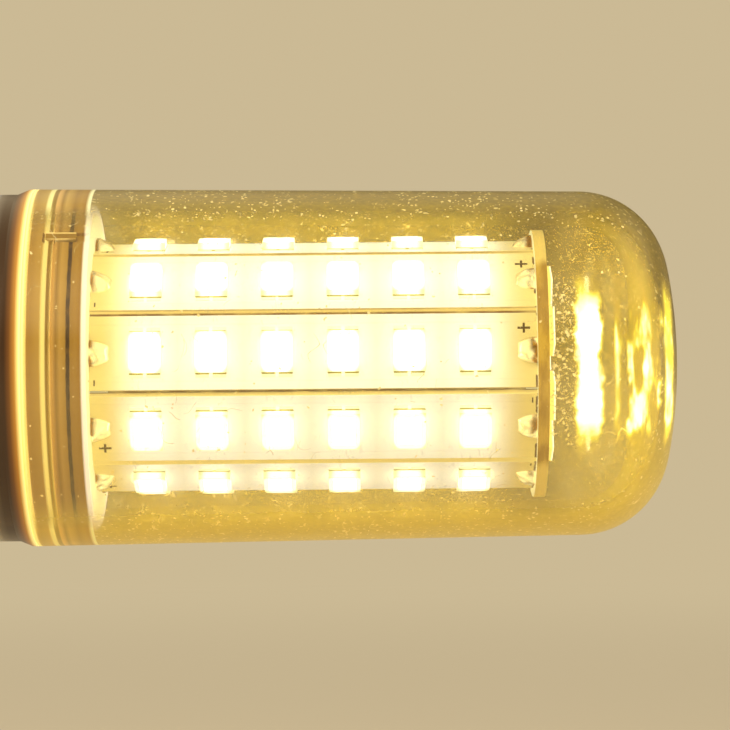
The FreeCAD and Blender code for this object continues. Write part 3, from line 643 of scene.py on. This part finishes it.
def shell_finish():
    """Bright nickel plate on the rolled shell, with grime and painted shade in the thread's valleys."""
    f = Finish("threaded_shell")
    marks = f.grain(2600.0, 2.0, f.stretched(f.place(), (1.0, 0.04, 0.04)))
    valley = f.remap(f.radius(), THREAD_CREST_R - 0.35 * MM, THREAD_CREST_R - THREAD_DEPTH)
    grime_and_shade = f.product(valley, f.remap(f.grain(260.0, 4.0), 0.25, 0.6, 0.25, 0.8))
    colour = f.mix(f.product(marks, 0.4), (0.90, 0.89, 0.87), (0.70, 0.69, 0.66))
    f.set(base_color=f.mix(grime_and_shade, colour, (0.34, 0.32, 0.28)), metallic=1.0)
    f.set(roughness=f.remap(grime_and_shade, 0.0, 1.0, 0.13, 0.32))
    return f.bump(marks, 0.01 * MM, 0.2).material


def plated_finish(name, light, dark, roughness):
    """Bright plating with faint drawing marks round the axis and a little tarnish."""
    f = Finish(name)
    marks = f.grain(2600.0, 2.0, f.stretched(f.place(), (1.0, 0.04, 0.04)))
    tarnish = f.remap(f.grain(130.0, 4.0), 0.45, 0.75)
    colour = f.mix(f.product(marks, 0.5), light, dark)
    f.set(base_color=f.mix(f.product(tarnish, 0.35), colour, dark), metallic=1.0)
    f.set(roughness=f.remap(tarnish, 0.0, 1.0, roughness, roughness + 0.18))
    return f.bump(marks, 0.01 * MM, 0.25).material


def plastic_finish(name, light, dark, roughness=0.3):
    """Moulded or painted plastic with a faint mottle and a fine grain."""
    f = Finish(name)
    mottle = f.grain(700.0, 3.0)
    f.set(base_color=f.mix(mottle, light, dark))
    f.set(roughness=f.remap(mottle, 0.2, 0.8, roughness - 0.05, roughness + 0.1))
    return f.bump(f.grain(4000.0, 2.0), 0.01 * MM, 0.3).material


def driver_finish():
    """Tan laminate with copper tracks under a thin coat."""
    f = Finish("driver_laminate")
    weave = f.grain(2600.0, 2.0, f.stretched(f.place(), (1.0, 1.0, 0.25)))
    tracks = f.remap(f.cells(260.0, feature="DISTANCE_TO_EDGE").outputs["Distance"], 0.14, 0.10)
    laminate = f.mix(weave, (0.48, 0.33, 0.12), (0.62, 0.46, 0.20))
    f.set(base_color=f.mix(f.product(tracks, 0.6), laminate, (0.30, 0.34, 0.10)), roughness=0.45)
    return f.bump(f.total(f.product(weave, 0.3), tracks), 0.03 * MM, 0.4).material


# Meshes


def piece(name, mesh, finish, slot, *nodes):
    """A new piece on the root body that takes the place of the given nodes."""
    made = bpy.data.objects.new(name, mesh)
    bpy.context.scene.collection.objects.link(made)
    mesh.materials.append(finish)
    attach(made, "root")
    if nodes:
        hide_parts(*nodes)
    return made


def mesh_of(name, points, faces, smooth_below=None):
    """A mesh, flat all over or smooth where its faces meet at less than so many degrees."""
    mesh = bpy.data.meshes.new(name)
    mesh.from_pydata(points, [], faces)
    mesh.update()
    if smooth_below is not None:
        mesh.polygons.foreach_set("use_smooth", [True] * len(mesh.polygons))
        mesh.set_sharp_from_angle(angle=math.radians(smooth_below))
    return mesh


def turned(name, rings, segments):
    """A mesh turned round the axis through (x, r) rings. A ring at r = 0 is a pole, one point alone."""
    poles = [r == 0.0 for _, r in rings]
    points, starts = [], []
    for (x, r), pole in zip(rings, poles):
        starts.append(len(points))
        for i in range(1 if pole else segments):
            angle = math.tau * i / segments
            points.append((x, -r * math.cos(angle), r * math.sin(angle)))
    faces = []
    for ring, (a, b) in enumerate(zip(starts, starts[1:])):
        for i in range(segments):
            j = (i + 1) % segments
            if poles[ring]:
                faces.append((a, b + i, b + j))
            elif poles[ring + 1]:
                faces.append((a + i, b, a + j))
            else:
                faces.append((a + i, b + i, b + j, a + j))
    return mesh_of(name, points, faces, smooth_below=35)


def arc(centre, radius, start, end, steps):
    """Places on an arc in the (x, r) plane, from the start angle to the end angle."""
    places = []
    for i in range(steps + 1):
        angle = start + (end - start) * i / steps
        places.append((centre[0] + radius * math.cos(angle), centre[1] + radius * math.sin(angle)))
    return places


def cover_bore(x):
    """Radius of the cover's drafted bore at x."""
    return COVER_R - COVER_WALL / math.cos(COVER_DRAFT_ANGLE) - COVER_DRAFT * (x - MOUTH_X)


def cover_skin(inset):
    """The cover's skin from its mouth to its tip, moved inwards by inset."""
    cosine = math.cos(COVER_DRAFT_ANGLE)
    cap_centre = TIP_X - COVER_CAP_R

    # The shoulder's centre lies its radius inside the wall, and this far apart from the cap's centre
    apart = COVER_CAP_R - COVER_CORNER_R
    height = COVER_R - COVER_DRAFT * (cap_centre - MOUTH_X) - COVER_CORNER_R / cosine
    square = 1 + COVER_DRAFT**2
    root = math.sqrt((height * COVER_DRAFT) ** 2 - square * (height**2 - apart**2))
    along = (height * COVER_DRAFT + root) / square
    corner = (cap_centre + along, height - COVER_DRAFT * along)

    wall_angle = math.pi / 2 - COVER_DRAFT_ANGLE
    cap_angle = math.atan2(corner[1], along)
    bend = arc(corner, COVER_CORNER_R - inset, wall_angle, cap_angle, CORNER_STEPS)
    cap = arc((cap_centre, 0.0), COVER_CAP_R - inset, cap_angle, 0.0, CAP_STEPS)
    cap[-1] = (TIP_X - inset, 0.0)
    mouth, top = (MOUTH_X, COVER_R - inset / cosine), bend[0]
    wall = []
    for i in range(WALL_STEPS):
        share = i / WALL_STEPS
        wall.append((mouth[0] + (top[0] - mouth[0]) * share, mouth[1] + (top[1] - mouth[1]) * share))
    return wall + bend + cap[1:]


def cover_mesh():
    """The cover as one closed wall, with its snap bead inside the mouth."""
    outer, inner = cover_skin(0.0), cover_skin(COVER_WALL)
    edge = COVER_EDGE_R
    outer[0] = (MOUTH_X + edge, outer[0][1])
    start, end = (MOUTH_X, outer[0][1] - edge), (MOUTH_X, inner[0][1] + edge)
    inner[0] = (MOUTH_X + edge, inner[0][1])
    middle = MOUTH_X + BEAD_X
    bead = [
        (middle - BEAD_FOOT_L / 2, cover_bore(middle - BEAD_FOOT_L / 2)),
        (middle - BEAD_TIP_L / 2, cover_bore(middle) - BEAD_H),
        (middle + BEAD_TIP_L / 2, cover_bore(middle) - BEAD_H),
        (middle + BEAD_FOOT_L / 2, cover_bore(middle + BEAD_FOOT_L / 2)),
    ]
    beyond = [place for place in inner[1:] if place[0] > bead[-1][0]]
    wall = [inner[0]] + bead + beyond
    return turned("cover_shell", wall[::-1] + [end, start] + outer, COVER_SEGMENTS)


def blocks_mesh(name, boxes):
    """One mesh of many boxes, each given as (lowest corner, highest corner, turn)."""
    box_faces = ((0, 1, 3, 2), (4, 6, 7, 5), (0, 4, 5, 1), (2, 3, 7, 6), (0, 2, 6, 4), (1, 5, 7, 3))
    points, faces = [], []
    for low, high, turn in boxes:
        first = len(points)
        points += [tuple(turn @ Vector(corner)) for corner in itertools.product(*zip(low, high))]
        faces += [tuple(first + index for index in face) for face in box_faces]
    return mesh_of(name, points, faces)


def round_turn(angle):
    """Turns what is modelled on the +Z side to an angle from the camera's side, rising towards +Z."""
    return Matrix.Rotation(math.radians(90.0 - angle), 3, "X")


def strip_angle(number):
    """A strip's angle in degrees, from the camera's side towards +Z."""
    return STRIP_CLOCK + 360.0 / STRIP_COUNT * (number - 1)


# Pieces


def make_cover(cover_plastic, key_plastic):
    """The clear cover, and the two keys inside its mouth."""
    piece("clear_cover", cover_mesh(), cover_plastic, "clear_cover", "cover")
    clear = 0.01 * MM
    root = cover_bore(MOUTH_X + KEY_TO) - clear
    low = (MOUTH_X + KEY_FROM, -KEY_W / 2, root - KEY_H)
    high = (MOUTH_X + KEY_TO, KEY_W / 2, root)
    boxes = [(low, high, round_turn(angle)) for angle in KEY_ANGLES]
    piece("cover_keys", blocks_mesh("cover_keys", boxes), key_plastic, "clear_cover")


def solder_lump(rng, face_x, way, turn):
    """One lump of solder on a strip's end, as a closed height field whose back is the strip's face.

    u runs along the strip, from 0 at the round board to 1, and v across it, from -1 to 1.
    """
    along, over = 14, 16
    seed = Vector((rng.uniform(0, 50), rng.uniform(0, 50), rng.uniform(0, 50)))
    lean = rng.uniform(-0.25, 0.25)
    tall = rng.uniform(0.85, 1.0)
    points, faces = [], []
    for i in range(along + 1):
        u = i / along
        half = SOLDER_W / 2 * (1 - 0.45 * u**2.5) * (1.0 if u < 1 else 0.9)
        for j in range(over + 1):
            v = -1 + 2 * j / over
            dome = max(0.0, 1 - abs(v) ** 2.4) ** 0.55
            slope = max(0.0, 1 - u**1.7) ** 0.75
            lump = noise.noise(seed + Vector((u * 2.2, v * 1.7, 0)))
            crease = abs(noise.noise(seed + Vector((v * 2.6, u * 3.4, 7.0))))
            height = SOLDER_H * dome * slope * tall * (0.90 + 0.26 * lump - 0.14 * crease + lean * v * 0.3)
            height = min(max(height, 0.0), SOLDER_H)
            points.append(Vector((face_x + way * u * SOLDER_L, v * half, STRIP_FACE + height)))
    top_count = len(points)
    points += [Vector((p.x, p.y, STRIP_FACE)) for p in points]
    row = over + 1
    for i in range(along):
        for j in range(over):
            a, b = i * row + j, (i + 1) * row + j
            top = (a, b, b + 1, a + 1)
            faces.append(top)
            faces.append(tuple(top_count + k for k in reversed(top)))
    ring = list(range(row)) + [i * row + over for i in range(1, along + 1)]
    ring += [along * row + j for j in range(over - 1, -1, -1)] + [i * row for i in range(along - 1, 0, -1)]
    for a, b in zip(ring, ring[1:] + ring[:1]):
        faces.append((a, b, top_count + b, top_count + a))
    if way < 0:
        faces = [tuple(reversed(face)) for face in faces]
    return [tuple(turn @ point) for point in points], faces


def make_solder(finish):
    """The solder joints on the strips: one piece at the base board and one at the top board."""
    rng = random.Random(SOLDER_SEED)
    for name, face_x, way in (("lower_solder", RIM_X, 1), ("upper_solder", PLATE_X, -1)):
        points, faces = [], []
        for number in range(1, STRIP_COUNT + 1):
            lump_points, lump_faces = solder_lump(rng, face_x, way, round_turn(strip_angle(number)))
            first = len(points)
            points += lump_points
            faces += [tuple(first + index for index in face) for face in lump_faces]
        mesh = mesh_of(name + "_joints", points, faces, smooth_below=70)
        made = piece(name + "_joints", mesh, finish, "solder", name)
        smooth = made.modifiers.new("smooth", "SUBSURF")
        smooth.levels = smooth.render_levels = 1


def make_marks(finish):
    """Printed polarity marks near the strips' ends."""
    stroke, proud = 0.2 * MM, 0.012 * MM
    plus_l, plus_w = 1.1 * MM, 0.86 * MM
    plus_in, plus_across = 1.16 * MM, 1.9 * MM
    minus_in, minus_across, minus_w, minus_t = 0.45 * MM, 2.55 * MM, 0.5 * MM, 0.13 * MM
    plus_at_top = (1, 2, 5, 6)
    marks = []

    def mark(x, y, length, width, turn):
        low = (x - length / 2, y - width / 2, STRIP_FACE)
        high = (x + length / 2, y + width / 2, STRIP_FACE + proud)
        marks.append((low, high, turn))

    for number in range(1, STRIP_COUNT + 1):
        turn = round_turn(strip_angle(number))
        way = 1 if number in plus_at_top else -1
        plus_end, minus_end = (PLATE_X, RIM_X) if way == 1 else (RIM_X, PLATE_X)
        x, y = plus_end - way * plus_in, way * plus_across
        mark(x, y, plus_l, stroke, turn)
        mark(x, y, stroke, plus_w, turn)
        mark(minus_end + way * minus_in, -way * minus_across, minus_t, minus_w, turn)
    piece("polarity_marks", blocks_mesh("polarity_marks", marks), finish, "black_component")


def make_pads(finish):
    """Two solder pads at each short side of every package."""
    pad_l, pad_gap, pad_reach, pad_t = 1.2 * MM, 0.3 * MM, 0.42 * MM, 0.09 * MM
    near, far = LED_L / 2 + 0.01 * MM, LED_L / 2 + pad_reach
    pads = []
    for number in range(1, STRIP_COUNT + 1):
        turn = round_turn(strip_angle(number))
        for led, side, end in itertools.product(range(LEDS_PER_STRIP), (-1, 1), (-1, 1)):
            centre = FIRST_LED + LED_PITCH * led + end * (pad_l + pad_gap) / 2
            low = (centre - pad_l / 2, min(side * near, side * far), STRIP_FACE)
            high = (centre + pad_l / 2, max(side * near, side * far), STRIP_FACE + pad_t)
            pads.append((low, high, turn))
    piece("led_pads", blocks_mesh("led_pads", pads), finish, "solder")


def shell_profile():
    """The rolled shell's outer skin as (x, r, threaded) places, from its lip to its rim."""
    root = THREAD_CREST_R - THREAD_DEPTH
    start, end = SHELL_X + SHELL_CORNER, SHELL_END_X - SHELL_RIM_L - SHELL_FLARE_L
    places = [(SHELL_X, LIP_R, False)]
    for i in range(SHELL_BEND_STEPS + 1):
        angle = math.pi / 2 * i / SHELL_BEND_STEPS
        x = start - SHELL_CORNER * math.cos(angle)
        places.append((x, root - SHELL_CORNER * (1 - math.sin(angle)), False))
    steps = round((end - start) / THREAD_PITCH * THREAD_STEPS)
    for i in range(1, steps + 1):
        places.append((start + (end - start) * i / steps, root, True))
    for i in range(1, SHELL_BEND_STEPS + 1):
        share = i / SHELL_BEND_STEPS
        rise = (1 - math.cos(math.pi * share)) / 2
        places.append((end + SHELL_FLARE_L * share, root + (SHELL_RIM_R - root) * rise, False))
    return places + [(SHELL_END_X, SHELL_RIM_R, False)]


def thread_lift(x, angle):
    """How far a right-handed thread rises from its root. It fades in and out at its ends."""
    fade_in = min(max((x - THREAD_FROM) / THREAD_PITCH, 0.0), 1.0)
    fade_out = min(max((THREAD_TO - x) / THREAD_PITCH, 0.0), 1.0)
    phase = math.tau * x / THREAD_PITCH - angle
    return THREAD_DEPTH * fade_in * fade_out * (0.5 + 0.5 * math.cos(phase))


def make_shell(finish):
    """The rolled shell: one closed tube, out along its outer skin and back along its inner one."""
    # In the first rows, at the lip and the bend, the inner skin also lies further along the axis.
    front_rows = 4
    skins = []
    for inset in (0.0, SHEET):
        rings = []
        for row, (x, r, threaded) in enumerate(shell_profile()):
            place = x + (inset if row < front_rows else 0.0)
            ring = []
            for s in range(SHELL_SEGMENTS):
                angle = math.tau * s / SHELL_SEGMENTS
                lift = thread_lift(x, angle) if threaded else 0.0
                radius = r + lift - (inset if row > 0 else 0.0)
                ring.append((place, -radius * math.cos(angle), radius * math.sin(angle)))
            rings.append(ring)
        skins.append(rings)
    rings = skins[0] + skins[1][::-1]
    faces = []
    for row, s in itertools.product(range(len(rings)), range(SHELL_SEGMENTS)):
        a, b = row * SHELL_SEGMENTS, (row + 1) % len(rings) * SHELL_SEGMENTS
        t = (s + 1) % SHELL_SEGMENTS
        faces.append((a + s, b + s, b + t, a + t))
    mesh = mesh_of("threaded_shell", list(itertools.chain(*rings)), faces, smooth_below=40)
    piece("threaded_shell", mesh, finish, "plated_shell", "screw_shell")


def finish_nodes():
    """The finishes of the nodes that stay as they are."""
    board, package, phosphor = board_finish(), package_finish(), phosphor_finish("phosphor", STRIP_GLOW)
    round_board = disc_finish()
    red = plastic_finish("red_insulation", (0.60, 0.05, 0.04), (0.45, 0.03, 0.03))
    white = plastic_finish("white_insulation", (0.85, 0.85, 0.82), (0.75, 0.75, 0.70))
    black = plastic_finish("black_insulation", (0.05, 0.05, 0.05), (0.03, 0.03, 0.03))
    component = plastic_finish("black_component", (0.06, 0.06, 0.06), (0.03, 0.03, 0.03), 0.5)
    finishes = {
        "housing": housing_finish(),
        "base_disc": round_board,
        "top_plate": round_board,
        "top_leds": top_package_finish(),
        "top_phosphor": phosphor_finish("top_phosphor", TOP_GLOW),
        "insulator": plastic_finish("black_insulator", (0.035, 0.033, 0.03), (0.02, 0.02, 0.02), 0.18),
        "end_contact": plated_finish("plated_contact", (0.80, 0.74, 0.60), (0.55, 0.48, 0.36), 0.3),
        "driver_board": driver_finish(),
        "film_capacitor": plastic_finish("capacitor_box", (0.75, 0.50, 0.10), (0.62, 0.40, 0.07)),
        "electrolytic_capacitor": plastic_finish("capacitor_sleeve", (0.05, 0.06, 0.10), (0.03, 0.04, 0.07)),
        "bridge_rectifier": component,
        "chip_resistors": component,
        "fuse_resistor": plastic_finish("resistor_coating", (0.25, 0.42, 0.30), (0.18, 0.33, 0.22), 0.5),
        "live_lead": red,
        "neutral_lead": white,
        "positive_lead": red,
        "negative_lead": black,
    }
    for number in range(1, STRIP_COUNT + 1):
        finishes[f"led_board_{number:02d}"] = board
        finishes[f"leds_{number:02d}"] = package
        finishes[f"phosphor_{number:02d}"] = phosphor
    for node, finish in finishes.items():
        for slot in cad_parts[node].material_slots:
            slot.material = finish


# Stage, lights and camera


def make_stage():
    """A pale floor that melts into an even backdrop far away."""
    signs = ((-1, -1), (1, -1), (1, 1), (-1, 1))
    corners = [(FLOOR_REACH * along, FLOOR_REACH * across, 0) for along, across in signs]
    mesh = mesh_of("floor", corners, [(0, 1, 2, 3)])
    floor = bpy.data.objects.new("floor", mesh)
    floor.location = (CAMERA_X, 0, FLOOR_Z)
    bpy.context.scene.collection.objects.link(floor)
    f = Finish("floor")
    f.set(base_color=BACKDROP, roughness=0.8)
    path = f.add("ShaderNodeLightPath").outputs
    seen = f.most(path["Is Camera Ray"], path["Is Glossy Ray"], path["Is Transmission Ray"])
    far = f.product(seen, f.remap(f.length(f.place()), EVEN_FROM, EVEN_TO))
    even = f.add("ShaderNodeEmission", {"Color": (*BACKDROP, 1), "Strength": 1.0})
    blend = f.add("ShaderNodeMixShader", {0: far, 1: f.surface.outputs[0], 2: even.outputs[0]})
    f.put(f.output.inputs[0], blend.outputs[0])
    mesh.materials.append(f.material)


def make_world():
    """Soft white light. The camera sees the backdrop, and metal a studio's lighter and darker sides."""
    world = bpy.data.worlds.new("studio")
    bpy.context.scene.world = world
    world.use_nodes = True
    w = Nodes(world.node_tree)
    light = world.node_tree.nodes["Background"]
    w.put(light.inputs["Color"], STUDIO_COLOUR)
    w.put(light.inputs["Strength"], STUDIO_STRENGTH)
    x, _, z = w.parts(w.add("ShaderNodeTexCoord").outputs["Generated"])
    height = w.ramp(z, [(place, (shade, shade, shade)) for place, shade in STUDIO_HEIGHT])
    side_place = w.total(w.product(x, 0.5), 0.5)
    side = w.ramp(side_place, [(place, (shade, shade, shade)) for place, shade in STUDIO_SIDE])
    path = w.add("ShaderNodeLightPath").outputs
    colour = w.mix(path["Is Glossy Ray"], BACKDROP, w.tinted(w.tinted(height, side), BACKDROP))
    back = w.add("ShaderNodeBackground", {"Color": colour, "Strength": 1.0})
    seen = w.most(path["Is Camera Ray"], path["Is Glossy Ray"], path["Is Transmission Ray"])
    mixed = w.add("ShaderNodeMixShader", {0: seen, 1: light.outputs[0], 2: back.outputs[0]})
    w.put(world.node_tree.nodes["World Output"].inputs[0], mixed.outputs[0])


def make_light(name, place, power):
    """A round lamp that shines on the cover and shows in no reflection."""
    lamp = bpy.data.lights.new(name, "AREA")
    lamp.shape = "DISK"
    lamp.size = LAMP_SIZE
    lamp.energy = power
    lamp.color = LAMP_COLOUR
    made = bpy.data.objects.new(name, lamp)
    made.location = place
    made.visible_glossy = made.visible_transmission = False
    made.rotation_mode = "QUATERNION"
    made.rotation_quaternion = (Vector((CAMERA_X, 0, 0)) - Vector(place)).to_track_quat("-Z", "Y")
    bpy.context.scene.collection.objects.link(made)


def make_camera():
    """The photo's view, level from the -Y side, with a little roll."""
    data = bpy.data.cameras.new("camera")
    data.sensor_width = 36.0
    data.lens = data.sensor_width * CAMERA_DISTANCE / VIEW_WIDTH
    data.clip_start, data.clip_end = 0.01, 50.0
    camera = bpy.data.objects.new("camera", data)
    camera.location = (CAMERA_X, -CAMERA_DISTANCE, 0.0)
    turn = Matrix.Rotation(math.pi / 2, 3, "X") @ Matrix.Rotation(math.radians(CAMERA_ROLL), 3, "Z")
    camera.rotation_euler = turn.to_euler()
    bpy.context.scene.collection.objects.link(camera)
    bpy.context.scene.camera = camera


make_camera()
make_stage()
make_world()
make_light("key", (-0.25, -0.55, 0.65), 5.0)
make_light("fill", (0.6, -0.5, 0.35), 2.5)
finish_nodes()
make_cover(cover_finish(), key_finish())
make_solder(solder_finish())
make_marks(print_finish())
make_pads(pad_finish())
make_shell(shell_finish())
bpy.context.scene.view_settings.view_transform = "Standard"
